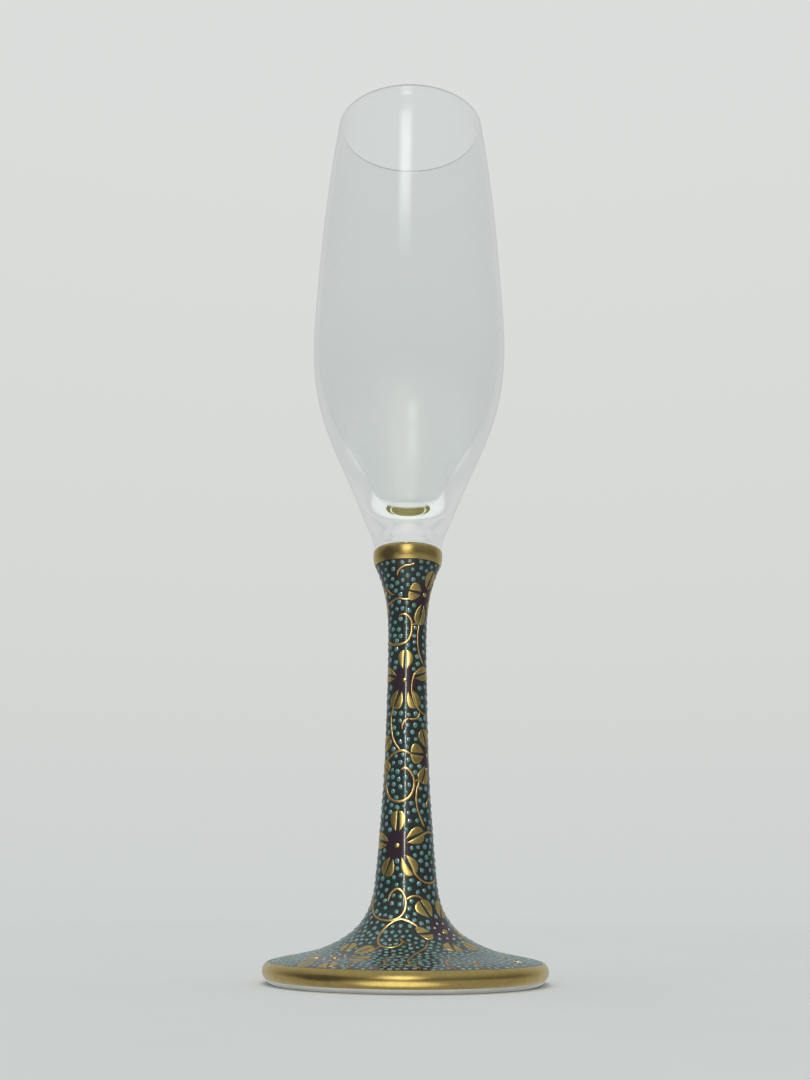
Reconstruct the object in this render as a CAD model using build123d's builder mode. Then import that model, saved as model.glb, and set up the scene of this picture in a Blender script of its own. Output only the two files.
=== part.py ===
from build123d import *

import os

# A champagne flute: a clear glass bowl bonded to a decorated porcelain stem and foot.
# Millimetres, +Z up, origin at the centre of the foot's resting plane.
# Every piece is a solid of revolution about Z, drawn as a half section in the XZ plane.

# Heights of the joints between the pieces
TOTAL_HEIGHT = 217.5
SEAT_Z = 98.0
BOND_THICKNESS = 0.2
GLASS_BASE_Z = SEAT_Z + BOND_THICKNESS

# Foot
FOOT_RADIUS = 31.2
FOOT_TOP_EDGE = (30.3, 4.4)
FOOT_WIDEST = (FOOT_RADIUS, 2.6)
FOOT_LOW_EDGE = (30.4, 0.95)
RING_OUTER_RADIUS = 28.8
RING_INNER_RADIUS = 26.0
RING_FLARE = (29.8, 0.35)
RECESS_RADIUS = 24.4
RECESS_DEPTH = 1.8
RECESS_WALL = (25.5, 1.1)

# Collar at the top of the stem
COLLAR_BASE = (7.92, 94.2)
COLLAR_BULGE = (8.32, 95.9)
COLLAR_SHOULDER = (8.3, 97.6)
SHOULDER_ROUND = 0.5
SEAT_RADIUS = 7.95
BOND_RADIUS = 7.8

# Fired gold, drawn thick enough to be a solid
GILT = 0.15

# Upper face of the foot and side of the stem, from the foot's edge to the collar
STEM_CURVE = [
    FOOT_TOP_EDGE,
    (27.0, 5.2),
    (20.0, 6.6),
    (14.0, 9.15),
    (10.4, 12.0),
    (8.0, 16.0),
    (6.65, 24.0),
    (5.55, 38.0),
    (4.8, 56.0),
    (4.5, 74.0),
    (5.05, 85.0),
    (6.5, 91.0),
]
STEM_NECK = (COLLAR_BASE[0] - GILT, COLLAR_BASE[1])

# Glass bowl
BASE_RADIUS = 8.2
BASE_ROUND = 0.4
BASE_HEIGHT = 1.6
LIP_THICKNESS = 0.9
LIP_OUTER_RADIUS = 19.42
LIP_Z = TOTAL_HEIGHT - LIP_THICKNESS / 2
LIP_INNER_RADIUS = LIP_OUTER_RADIUS - LIP_THICKNESS
BOWL_OUTSIDE = [
    (BASE_RADIUS + 0.15, GLASS_BASE_Z + BASE_HEIGHT),
    (10.7, 106.0),
    (13.5, 113.0),
    (18.3, 124.0),
    (22.45, 136.0),
    (24.25, 150.0),
    (23.87, 166.0),
    (22.36, 190.0),
    (LIP_OUTER_RADIUS, LIP_Z),
]
BOWL_INSIDE = [
    (LIP_INNER_RADIUS, LIP_Z),
    (21.4, 190.0),
    (22.8, 166.0),
    (22.9, 150.0),
    (20.1, 136.0),
    (14.5, 124.0),
    (9.3, 114.8),
    (5.9, 109.0),
    (0.0, 106.7),
]
INSIDE_START = (0.13, -1)
INSIDE_END = (-1, 0)

os.makedirs("parts", exist_ok=True)

# Gold over the collar and across the seat, one thin skin with its inner face offset inwards
with BuildPart() as gilt_collar:
    with BuildSketch(Plane.XZ):
        with BuildLine():
            Line((0, SEAT_Z), (SEAT_RADIUS, SEAT_Z))
            RadiusArc((SEAT_RADIUS, SEAT_Z), COLLAR_SHOULDER, SHOULDER_ROUND)
            ThreePointArc(COLLAR_SHOULDER, COLLAR_BULGE, COLLAR_BASE)
            Line(COLLAR_BASE, STEM_NECK)
            ThreePointArc(
                STEM_NECK,
                (COLLAR_BULGE[0] - GILT, COLLAR_BULGE[1]),
                (COLLAR_SHOULDER[0] - GILT, COLLAR_SHOULDER[1] - GILT / 2),
            )
            Line(
                (COLLAR_SHOULDER[0] - GILT, COLLAR_SHOULDER[1] - GILT / 2),
                (SEAT_RADIUS - GILT, SEAT_Z - GILT),
            )
            Line((SEAT_RADIUS - GILT, SEAT_Z - GILT), (0, SEAT_Z - GILT))
            Line((0, SEAT_Z - GILT), (0, SEAT_Z))
        make_face()
    revolve(axis=Axis.Z)
gilt_collar.part.label = "gilt_collar"

# Gold round the foot's edge
with BuildPart() as gilt_foot_band:
    with BuildSketch(Plane.XZ):
        with BuildLine():
            ThreePointArc(FOOT_TOP_EDGE, FOOT_WIDEST, FOOT_LOW_EDGE)
            Line(FOOT_LOW_EDGE, (FOOT_LOW_EDGE[0] - GILT, FOOT_LOW_EDGE[1] + GILT))
            ThreePointArc(
                (FOOT_LOW_EDGE[0] - GILT, FOOT_LOW_EDGE[1] + GILT),
                (FOOT_WIDEST[0] - GILT, FOOT_WIDEST[1]),
                (FOOT_TOP_EDGE[0] - GILT, FOOT_TOP_EDGE[1] - GILT),
            )
            Line((FOOT_TOP_EDGE[0] - GILT, FOOT_TOP_EDGE[1] - GILT), FOOT_TOP_EDGE)
        make_face()
    revolve(axis=Axis.Z)
gilt_foot_band.part.label = "gilt_foot_band"

# Stem and foot, one porcelain piece; the two gold skins are let into it so that nothing overlaps
with BuildPart() as porcelain_stem:
    with BuildSketch(Plane.XZ):
        with BuildLine():
            Line((0, RECESS_DEPTH), (RECESS_RADIUS, RECESS_DEPTH))
            ThreePointArc((RECESS_RADIUS, RECESS_DEPTH), RECESS_WALL, (RING_INNER_RADIUS, 0))
            Line((RING_INNER_RADIUS, 0), (RING_OUTER_RADIUS, 0))
            ThreePointArc((RING_OUTER_RADIUS, 0), RING_FLARE, FOOT_LOW_EDGE)
            ThreePointArc(FOOT_LOW_EDGE, FOOT_WIDEST, FOOT_TOP_EDGE)
            Spline(*STEM_CURVE, STEM_NECK)
            Line(STEM_NECK, COLLAR_BASE)
            ThreePointArc(COLLAR_BASE, COLLAR_BULGE, COLLAR_SHOULDER)
            RadiusArc((SEAT_RADIUS, SEAT_Z), COLLAR_SHOULDER, SHOULDER_ROUND)
            Line((SEAT_RADIUS, SEAT_Z), (0, SEAT_Z))
            Line((0, SEAT_Z), (0, RECESS_DEPTH))
        make_face()
    revolve(axis=Axis.Z)
    add(gilt_collar.part, mode=Mode.SUBTRACT)
    add(gilt_foot_band.part, mode=Mode.SUBTRACT)
porcelain_stem.part.label = "porcelain_stem"

# Clear film that bonds the glass to the gilded seat
with BuildPart() as seat_adhesive:
    with BuildSketch(Plane.XY.offset(SEAT_Z)):
        Circle(BOND_RADIUS)
    extrude(amount=BOND_THICKNESS)
seat_adhesive.part.label = "seat_adhesive"

# Blown bowl: short solid base, thick pointed bottom, thin wall and a fire-rounded lip
with BuildPart() as glass_bowl:
    with BuildSketch(Plane.XZ):
        with BuildLine():
            Line((0, GLASS_BASE_Z), (BASE_RADIUS - BASE_ROUND, GLASS_BASE_Z))
            RadiusArc(
                (BASE_RADIUS - BASE_ROUND, GLASS_BASE_Z),
                (BASE_RADIUS, GLASS_BASE_Z + BASE_ROUND),
                -BASE_ROUND,
            )
            Line((BASE_RADIUS, GLASS_BASE_Z + BASE_ROUND), BOWL_OUTSIDE[0])
            Spline(*BOWL_OUTSIDE)
            ThreePointArc(
                BOWL_OUTSIDE[-1],
                (LIP_OUTER_RADIUS - LIP_THICKNESS / 2, TOTAL_HEIGHT),
                BOWL_INSIDE[0],
            )
            Spline(*BOWL_INSIDE, tangents=[INSIDE_START, INSIDE_END])
            Line(BOWL_INSIDE[-1], (0, GLASS_BASE_Z))
        make_face()
    revolve(axis=Axis.Z)
glass_bowl.part.label = "glass_bowl"

for piece in (porcelain_stem, gilt_foot_band, gilt_collar, seat_adhesive, glass_bowl):
    export_step(piece.part, f"parts/{piece.part.label}.step")
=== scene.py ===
import math
import random

import bpy
import numpy as np
from mathutils import Matrix, Vector
from mathutils.kdtree import KDTree


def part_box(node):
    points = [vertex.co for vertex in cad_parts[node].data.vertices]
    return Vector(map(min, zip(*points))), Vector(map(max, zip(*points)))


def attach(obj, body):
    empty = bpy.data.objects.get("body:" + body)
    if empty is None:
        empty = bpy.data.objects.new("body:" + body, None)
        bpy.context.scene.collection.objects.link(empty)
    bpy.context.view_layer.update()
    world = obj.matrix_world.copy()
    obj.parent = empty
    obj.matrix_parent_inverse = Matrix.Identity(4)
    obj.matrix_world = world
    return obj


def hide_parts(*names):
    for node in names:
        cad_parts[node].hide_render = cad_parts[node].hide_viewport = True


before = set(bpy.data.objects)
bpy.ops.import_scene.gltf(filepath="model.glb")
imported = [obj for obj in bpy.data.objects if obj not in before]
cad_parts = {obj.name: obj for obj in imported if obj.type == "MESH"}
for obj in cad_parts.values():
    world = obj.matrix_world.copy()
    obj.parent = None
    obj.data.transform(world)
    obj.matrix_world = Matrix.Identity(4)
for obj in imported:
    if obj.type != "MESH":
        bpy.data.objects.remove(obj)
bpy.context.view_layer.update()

# A champagne flute: a clear glass bowl on a porcelain stem painted with gold flowers, gold vines
# and turquoise enamel dots. Lengths are in millimetres until a mesh is written, then in metres.
# The lamps, the camera and the floor's fade are in metres too.
MM = 0.001
TOUCH = 1e-3
rng = random.Random(41)

BAND_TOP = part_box("gilt_foot_band")[1].z / MM
COLLAR_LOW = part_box("gilt_collar")[0].z / MM
GLASS_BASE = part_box("glass_bowl")[0].z / MM
GLASS_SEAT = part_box("seat_adhesive")[1].x / MM


# ---------------------------------------------------------------- sections of the CAD nodes
SEAM_TOLERANCE = 1e-7
CORNER_DEG = 24.0
BEND_DEG = 7.0
FINE_STEP = 0.06


def meridian(node):
    """A CAD node's half section on the +X side, as connected (radius, height) points in mm."""
    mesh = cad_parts[node].data
    near = {
        v.index: (round(v.co.x / MM, 4), round(v.co.z / MM, 4))
        for v in mesh.vertices
        if abs(v.co.y) < SEAM_TOLERANCE and v.co.x > -SEAM_TOLERANCE
    }
    links = {}
    for edge in mesh.edges:
        a, b = (near.get(i) for i in edge.vertices)
        if a is not None and b is not None and a != b:
            links.setdefault(a, set()).add(b)
            links.setdefault(b, set()).add(a)
    ends = [p for p, q in links.items() if len(q) == 1]
    path = [min(ends or links, key=lambda p: (p[1], p[0]))]
    while True:
        ahead = [p for p in links[path[-1]] if p not in path]
        if not ahead:
            break
        path.append(min(ahead, key=lambda p: math.dist(p, path[-1])))
    return np.array(path), not ends


def run_lengths(p):
    """How far along a path each of its points lies."""
    return np.r_[0, np.cumsum(np.linalg.norm(np.diff(p, axis=0), axis=1))]


def tangents(t, p):
    """Slopes of a smooth curve through the points p at the positions t."""
    h = np.diff(t)[:, None]
    slope = np.diff(p, axis=0) / h
    if len(p) == 2:
        return np.vstack([slope, slope])
    inner = (h[1:] * slope[:-1] + h[:-1] * slope[1:]) / (h[:-1] + h[1:])
    return np.vstack([2 * slope[0] - inner[0], inner, 2 * slope[-1] - inner[-1]])


def hermite(w, h, start, start_slope, end, end_slope):
    """The smooth curve over one span, h long, at the share w of it."""
    return (
        (2 * w**3 - 3 * w**2 + 1) * start
        + (w**3 - 2 * w**2 + w) * h * start_slope
        + (3 * w**2 - 2 * w**3) * end
        + (w**3 - w**2) * h * end_slope
    )


def smooth_run(p, step):
    """Points about step apart on a smooth curve through every point of p."""
    t = run_lengths(p)
    m = tangents(t, p)
    count = max(2, int(math.ceil(t[-1] / step)) + 1)
    at = np.linspace(0, t[-1], count)
    k = np.clip(np.searchsorted(t, at, side="right") - 1, 0, len(t) - 2)
    h = (t[k + 1] - t[k])[:, None]
    w = (at - t[k])[:, None] / h
    return hermite(w, h, p[k], m[k], p[k + 1], m[k + 1])


def corners(p):
    """Indices where a path turns sharply, with both its ends."""
    d = np.diff(p, axis=0)
    d /= np.linalg.norm(d, axis=1)[:, None]
    turn = np.degrees(np.arccos(np.clip((d[1:] * d[:-1]).sum(1), -1, 1)))
    return [0] + [i + 1 for i, a in enumerate(turn) if a > CORNER_DEG] + [len(p) - 1]


def thin_out(p, step):
    """Leaves points a step apart, and closer where the path bends."""
    kept, turned = [0], 0.0
    for i in range(1, len(p) - 1):
        a, b = p[i] - p[i - 1], p[i + 1] - p[i]
        turned += math.degrees(abs(math.atan2(a[0] * b[1] - a[1] * b[0], a @ b)))
        if math.dist(p[i], p[kept[-1]]) >= step or turned >= BEND_DEG:
            kept.append(i)
            turned = 0.0
    return p[kept + [len(p) - 1]]


def resample(p, step):
    """The path again, smooth between its sharp corners, with finer points round its bends."""
    cut = corners(p)
    runs = [
        thin_out(smooth_run(p[a : b + 1], FINE_STEP), step)
        for a, b in zip(cut[:-1], cut[1:])
        if b > a
    ]
    return np.vstack([runs[0]] + [r[1:] for r in runs[1:]])


def section(node, step):
    """A node's section, ready to turn about Z: an anticlockwise loop, or from axis to axis."""
    p, loop = meridian(node)
    low, high = p[:, 1].min(), p[:, 1].max()
    if loop:
        p = np.vstack([p, p[:1]])
        area = (p[:-1, 0] * p[1:, 1] - p[1:, 0] * p[:-1, 1]).sum()
        p = p if area > 0 else p[::-1]
    for end in (0, -1):
        if not loop and p[end, 0] > TOUCH:
            axis = np.array([[0.0, p[end, 1]]])
            p = np.vstack([axis, p] if end == 0 else [p, axis])
    p = resample(p, step)
    p[:, 1] = np.clip(p[:, 1], low, high)
    return (p[:-1] if loop else p), loop


# ---------------------------------------------------------------- mesh helpers
POINT_RADIUS = 1e-4
SHARP_DEG = 35.0
ORNAMENT_SHARP_DEG = 60.0


def new_object(name, verts, faces, materials, sharp_deg=None):
    """A smooth-shaded mesh object from vertices in mm, with edges sharp above an angle."""
    mesh = bpy.data.meshes.new(name)
    mesh.from_pydata((np.asarray(verts, float) * MM).tolist(), [], faces)
    mesh.update()
    obj = bpy.data.objects.new(name, mesh)
    bpy.context.scene.collection.objects.link(obj)
    for m in materials:
        mesh.materials.append(m)
    mesh.shade_smooth()
    if sharp_deg is not None:
        mesh.set_sharp_from_angle(angle=math.radians(sharp_deg))
    return obj


def lathe(name, profile, closed, segments, materials, row_material=None, sharp_deg=SHARP_DEG):
    """Turns a section about Z. row_material(r, z) picks the material of each row of faces."""
    verts, rows = [], []
    for r, z in profile:
        if r < POINT_RADIUS:
            rows.append([len(verts)] * segments)
            verts.append((0.0, 0.0, z))
            continue
        rows.append(list(range(len(verts), len(verts) + segments)))
        for j in range(segments):
            a = 2 * math.pi * j / segments
            verts.append((r * math.cos(a), r * math.sin(a), z))
    pairs = list(zip(rows[:-1], rows[1:]))
    mids = [(profile[i] + profile[i + 1]) / 2 for i in range(len(profile) - 1)]
    if closed:
        pairs.append((rows[-1], rows[0]))
        mids.append((profile[-1] + profile[0]) / 2)
    faces, index = [], []
    for (low, high), mid in zip(pairs, mids):
        material = row_material(*mid) if row_material else 0
        for j in range(segments):
            k = (j + 1) % segments
            face = list(dict.fromkeys([low[j], low[k], high[k], high[j]]))
            if len(face) > 2:
                faces.append(face)
                index.append(material)
    obj = new_object(name, verts, faces, materials, sharp_deg)
    obj.data.polygons.foreach_set("material_index", index)
    return obj


def set_attribute(obj, name, values):
    """One number to a vertex, for a material to read."""
    layer = obj.data.attributes.new(name, "FLOAT", "POINT")
    layer.data.foreach_set("value", np.asarray(values, np.float32))


def share_of(value, low, width):
    """How far a value lies from low to low + width, from 0 to 1."""
    return min(1.0, max(0.0, (value - low) / width))


# ---------------------------------------------------------------- the painted skin
# The skin runs from the top of the foot band, over the foot and up the stem to the collar.
# A place on it is s, in mm up it from the band, and phi, in radians round from -Y.
SKIN_SAMPLE = 0.1
FOOT_REACH = 40.0

stem_path, _ = meridian("porcelain_stem")
first = next(i for i, (r, z) in enumerate(stem_path) if z >= BAND_TOP - TOUCH)
last = next(i for i in range(first, len(stem_path)) if stem_path[i][1] >= COLLAR_LOW - TOUCH)
SKIN = smooth_run(stem_path[first : last + 1], SKIN_SAMPLE)
SKIN_S = run_lengths(SKIN)
SKIN_T = np.gradient(SKIN, SKIN_S, axis=0)
SKIN_T /= np.linalg.norm(SKIN_T, axis=1)[:, None]
SKIN_LENGTH = SKIN_S[-1]
FOOT_PART = int(np.searchsorted(SKIN_S, FOOT_REACH))


def skin_radius(s):
    return np.interp(s, SKIN_S, SKIN[:, 0])


def skin_slope(s):
    """The skin's direction up the section at s, as (outward, upward)."""
    return np.interp(s, SKIN_S, SKIN_T[:, 0]), np.interp(s, SKIN_S, SKIN_T[:, 1])


def on_skin(s, phi, lift=0.0):
    """Points at a lift in mm off the painted skin."""
    s, phi, lift = np.broadcast_arrays(np.asarray(s, float), phi, lift)
    tr, tz = skin_slope(s)
    r = skin_radius(s) + lift * tz
    z = np.interp(s, SKIN_S, SKIN[:, 1]) - lift * tr
    return np.stack([r * np.sin(phi), -r * np.cos(phi), z], -1)


def foot_s(r):
    """How far up the skin the foot's upper face has the radius r."""
    return np.interp(-r, -SKIN[:FOOT_PART, 0], SKIN_S[:FOOT_PART])


# ---------------------------------------------------------------- ornament layout
# Flowers: name, height along the skin, turn from the front, and petals as
# (direction, inner end, outer end, width); 0 degrees points right and 90 up the stem.
def six(directions):
    return [(a, 4.1, 8.2, 4.3) for a in directions]


FLOWERS = [
    (
        "a",
        76.5,
        -6.3,
        [
            (90, 2.4, 7.0, 3.7),
            (20, 2.2, 6.9, 3.5),
            (-66, 2.5, 7.0, 3.5),
            (-114, 2.5, 7.1, 3.5),
            (162, 2.3, 7.0, 3.6),
        ],
    ),
    (
        "b",
        39.4,
        -18.5,
        [
            (90, 2.9, 7.5, 3.5),
            (26, 2.1, 6.8, 3.7),
            (-57, 2.5, 7.4, 3.7),
            (-115, 2.8, 7.1, 3.5),
            (168, 2.3, 7.2, 3.7),
        ],
    ),
    (
        "c",
        97.0,
        50.5,
        [
            (172, 1.3, 4.5, 4.3),
            (-98, 2.2, 7.4, 3.4),
            (76, 1.5, 6.3, 3.6),
            (14, 1.6, 6.2, 3.4),
            (-42, 1.8, 6.6, 3.4),
        ],
    ),
    (
        "d",
        59.5,
        72.0,
        [
            (178, 1.9, 5.4, 4.4),
            (110, 1.9, 6.2, 3.3),
            (-114, 2.8, 7.0, 3.5),
            (38, 1.9, 6.2, 3.4),
            (-38, 1.9, 6.4, 3.4),
        ],
    ),
    ("e", 20.1, 47.0, six((112, 63, -1, -59, -116)) + [(184, 3.9, 7.0, 4.2)]),
    ("f", 8.0, -40.5, six((108, 57, 1, -58, -115, 185))),
]
LARGE_FLOWERS = ("e", "f")

# Vines on the stem: width, then (mm round the stem from the front, mm up the skin)
STEM_VINES = [
    (0.45, [(-2.5, 101.3), (-2.4, 102.2), (-1.6, 103.1), (-0.6, 103.5), (0.7, 103.7), (1.7, 104.2)]),
    (0.4, [(-7.0, 99.3), (-5.7, 98.3), (-4.4, 97.2), (-3.3, 96.9)]),
    (0.5, [(-6.7, 94.7), (-4.4, 95.3), (-2.3, 95.9), (-0.8, 95.6), (1.2, 95.7)]),
    (
        0.55,
        [(-2.0, 91.8), (-1.1, 92.1), (0.1, 91.7), (0.9, 90.6), (1.1, 89.0), (0.85, 87.2)]
        + [(0.0, 85.7), (-1.2, 85.1), (-3.0, 84.9), (-4.7, 85.4), (-6.6, 86.6)],
    ),
    (
        0.38,
        [(1.1, 89.4), (1.9, 89.8), (2.8, 89.8), (2.6, 87.4), (2.6, 85.2), (3.0, 83.0)]
        + [(3.8, 81.3), (4.6, 80.3)],
    ),
    (
        0.38,
        [(4.5, 79.6), (2.8, 78.9), (1.7, 77.7), (1.15, 75.7), (1.15, 73.6), (1.7, 71.6)]
        + [(2.8, 69.9), (4.1, 69.0), (5.8, 68.7), (7.5, 69.0)],
    ),
    (0.45, [(0.45, 67.5), (1.8, 67.5), (2.7, 67.9), (3.2, 69.1)]),
    (0.62, [(-1.1, 65.2), (-1.0, 66.3), (-0.45, 67.1), (0.3, 67.5)]),
    (
        0.45,
        [(-1.5, 60.4), (-2.2, 61.2), (-3.3, 62.7), (-3.9, 64.8), (-4.15, 66.9)]
        + [(-4.0, 68.7), (-3.2, 70.4)],
    ),
    (
        0.55,
        [(-5.7, 53.4), (-6.1, 55.4), (-5.9, 57.2), (-5.2, 58.3), (-4.0, 59.2)]
        + [(-2.8, 59.9), (-1.4, 60.3), (-0.2, 60.1), (1.0, 59.5)],
    ),
    (
        0.58,
        [(-1.3, 56.0), (-0.2, 56.4), (0.9, 55.6), (1.6, 54.3), (1.8, 52.9), (1.5, 51.4)]
        + [(0.7, 50.0), (-0.6, 49.2), (-2.4, 49.0), (-4.0, 49.7), (-5.1, 51.1), (-5.7, 53.4)],
    ),
    (
        0.5,
        [(1.8, 53.4), (3.0, 53.6), (2.5, 51.6), (2.3, 49.6), (2.6, 47.5), (3.3, 45.7), (4.5, 43.4)],
    ),
    (0.35, [(7.8, 50.1), (6.5, 49.8), (5.5, 49.0), (5.4, 47.7)]),
    (0.42, [(2.4, 40.5), (3.5, 41.2), (4.9, 42.2), (6.3, 42.4), (7.5, 42.1)]),
    (0.48, [(1.5, 34.2), (2.5, 32.9), (3.9, 31.8), (5.4, 31.4), (7.0, 31.6), (8.5, 32.4)]),
    (
        0.55,
        [(-4.1, 27.5), (-3.7, 28.8), (-3.0, 29.7), (-1.9, 30.2), (-0.9, 29.7), (-0.3, 28.7)]
        + [(0.0, 27.7), (-0.05, 26.3), (-0.65, 24.8), (-1.9, 23.7), (-3.7, 23.2), (-5.8, 23.4)]
        + [(-7.7, 24.3), (-8.9, 25.9), (-9.5, 27.7), (-9.7, 30.0)],
    ),
    (0.5, [(0.0, 27.8), (0.9, 28.4), (2.0, 28.7), (3.3, 28.4), (4.0, 27.7)]),
    (
        0.55,
        [(2.8, 21.3), (1.9, 22.3), (0.4, 23.2), (-1.0, 23.6), (-2.7, 23.0), (-4.3, 21.6)]
        + [(-5.6, 19.5), (-6.0, 17.5), (-5.5, 15.7), (-4.3, 14.9), (-2.8, 14.9), (-1.4, 15.6)]
        + [(-0.7, 16.9), (-1.3, 18.3)],
    ),
]

# Vines on the foot: width, then (right of the axis, towards the back) in mm, seen from above
FOOT_VINES = [
    (0.45, [(-5.2, -14.2), (-6.3, -15.8), (-8.2, -16.4)]),
    (
        0.48,
        [(4.5, -13.4), (4.1, -15.6), (2.2, -18.4), (0.9, -21.3), (0.6, -24.1), (1.3, -27.0)]
        + [(2.9, -28.7)],
    ),
    (0.42, [(-3.4, -19.9), (-4.3, -22.4), (-4.0, -25.2), (-5.6, -28.0)]),
    (0.42, [(-9.4, -22.5), (-11.4, -24.6), (-11.0, -27.3)]),
    (0.42, [(10.4, -19.0), (8.3, -22.0), (8.3, -25.4), (10.0, -27.6)]),
    (0.42, [(14.4, -18.9), (13.9, -22.4), (15.6, -25.2)]),
    (0.42, [(20.3, -9.7), (22.8, -12.6), (26.0, -12.4)]),
    (0.42, [(-26.2, -6.3), (-24.4, -3.2), (-25.2, 0.6), (-27.6, 2.4)]),
    (0.42, [(-16.0, 3.0), (-18.6, 0.8), (-21.6, 1.8), (-22.4, 4.9)]),
]


# ---------------------------------------------------------------- ornament shapes
class Buffer:
    """Collects the vertices (mm) and faces of a mesh made of many small closed forms."""

    def __init__(self):
        self.verts, self.faces, self.count, self.marks = [], [], 0, []

    def add(self, verts, faces, mark=0.0):
        verts = np.asarray(verts, float).reshape(-1, 3)
        self.verts.append(verts)
        self.faces.extend([[i + self.count for i in f] for f in faces])
        self.marks.append(np.full(len(verts), mark))
        self.count += len(verts)


def grid_faces(rows, cols, closed):
    faces = []
    for i in range(rows - 1):
        for j in range(cols if closed else cols - 1):
            k = (j + 1) % cols
            faces.append([i * cols + j, i * cols + k, (i + 1) * cols + k, (i + 1) * cols + j])
    return faces


def stem_vine(points):
    return np.array([(s, u / skin_radius(s)) for u, s in points])


def foot_vine(points):
    return np.array([(foot_s(math.hypot(x, y)), math.atan2(x, -y)) for x, y in points])


# A vine's section: (across in half widths, lift off the skin in mm). Each vine swells and thins
# by two waves of (share, radians to the mm), and tapers over TAPER mm to its tips.
VINE_SECTION = [(-1, -0.03), (-0.85, 0.05), (-0.4, 0.09), (0, 0.1), (0.4, 0.09), (0.85, 0.05)]
VINE_SECTION += [(1, -0.03), (0.5, -0.07), (-0.5, -0.07)]
VINE_STEP = 0.28
SPAN_POINTS = 24
FEWEST_POINTS = 4
SLOW_SWELL = (0.10, 0.9)
QUICK_SWELL = (0.05, 2.3)
ANY_PHASE = 6
TAPER = 1.3
TIP_SHARE = 0.12
TIP_POWER = 0.6
THINNEST = 0.3


def vine_curve(points, step):
    """A vine's centre line, evenly spaced, as (s, phi), and how far along it each point lies."""
    scale = skin_radius(points[:, 0]).mean()
    flat = points * (1.0, scale)
    t = np.r_[0, np.cumsum(np.sqrt(np.linalg.norm(np.diff(flat, axis=0), axis=1)))]
    m = tangents(t, flat)
    fine = [
        hermite(w, t[k + 1] - t[k], flat[k], m[k], flat[k + 1], m[k + 1])
        for k in range(len(t) - 1)
        for w in np.linspace(0, 1, SPAN_POINTS, endpoint=False)
    ]
    fine = np.array(fine + [flat[-1]])
    fine[:, 1] /= scale
    d = run_lengths(on_skin(fine[:, 0], fine[:, 1]))
    at = np.linspace(0, d[-1], max(FEWEST_POINTS, int(d[-1] / step) + 1))
    return np.stack([np.interp(at, d, fine[:, 0]), np.interp(at, d, fine[:, 1])], -1), at


def add_vine(buffer, points, width, turn):
    """A round-topped vine whose edges sink into the glaze."""
    line, at = vine_curve(points, VINE_STEP)
    s, phi = line[:, 0], line[:, 1] + turn
    radius = skin_radius(s)
    ds, da = np.gradient(s), np.gradient(phi) * radius
    size = np.hypot(ds, da)
    ds, da = ds / size, da / size
    ends = np.minimum(at, at[-1] - at) / TAPER
    slow, quick = SLOW_SWELL, QUICK_SWELL
    swell = 1 + slow[0] * np.sin(at * slow[1] + rng.uniform(0, ANY_PHASE))
    swell = swell + quick[0] * np.sin(at * quick[1])
    half = width / 2 * np.clip(ends + TIP_SHARE, 0, 1) ** TIP_POWER * swell
    across = np.array([q for q, _ in VINE_SECTION])
    lift = np.array([h for _, h in VINE_SECTION])
    side = half[:, None] * across[None, :]
    thin = np.clip(half / (width / 2), THINNEST, 1)[:, None]
    verts = on_skin(
        s[:, None] - side * da[:, None],
        phi[:, None] + side * ds[:, None] / radius[:, None],
        np.where(lift > 0, lift * thin, lift),
    )
    cols = len(VINE_SECTION)
    faces = grid_faces(len(s), cols, True)
    faces.append(list(range(cols)))
    faces.append([(len(s) - 1) * cols + j for j in range(cols)][::-1])
    buffer.add(verts, faces)


# Half a petal's section: (share of the way from its midrib to its edge, lift off the skin in mm).
# Its edge wobbles by one wave of (share, radians along the petal), and is uneven by a share.
LOBE_ROWS = 15
LOBE_ACROSS = [(0, -0.03), (0.07, 0.035), (0.2, 0.065), (0.5, 0.07)]
LOBE_ACROSS += [(0.8, 0.065), (0.93, 0.035), (1, -0.03)]
LOBE_SINK = -0.03
LOBE_SHOULDER = 0.03
LOBE_UNDERSIDE = -0.08
SKIN_MARGIN = 0.05
RIB = 0.34
RIB_FLARE = 1.5
RIB_POWER = 1.5
LEAST_LOBE = 0.01
WIDEST = 0.62
ROOT_SHARE = 0.12
NEAR_POWER = 1.9
FAR_POWER = 2.6
WOBBLE = (0.05, 3.1)
UNEVEN = 0.04


def petal_width(t):
    """Half the breadth of a petal along its length: a narrow root, widest past the middle."""
    near = 1 - np.clip(1 - t / WIDEST, 0, 1) ** NEAR_POWER
    far = np.sqrt(1 - np.clip((t - WIDEST) / (1 - WIDEST), 0, 1) ** FAR_POWER)
    return (ROOT_SHARE + (1 - ROOT_SHARE) * near) * far


def closed_grid(rows, cols):
    """The faces of an upper and a lower grid of points, and of the wall round them."""
    upper = grid_faces(rows, cols, False)
    lower = [[i + rows * cols for i in f][::-1] for f in upper]
    rim = [i * cols for i in range(rows)] + [(rows - 1) * cols + j for j in range(1, cols)]
    rim += [i * cols + cols - 1 for i in range(rows - 2, -1, -1)]
    rim += list(range(cols - 2, 0, -1))
    wall = [[p, q, q + rows * cols, p + rows * cols] for p, q in zip(rim, rim[1:] + rim[:1])]
    return upper + lower + wall


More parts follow.
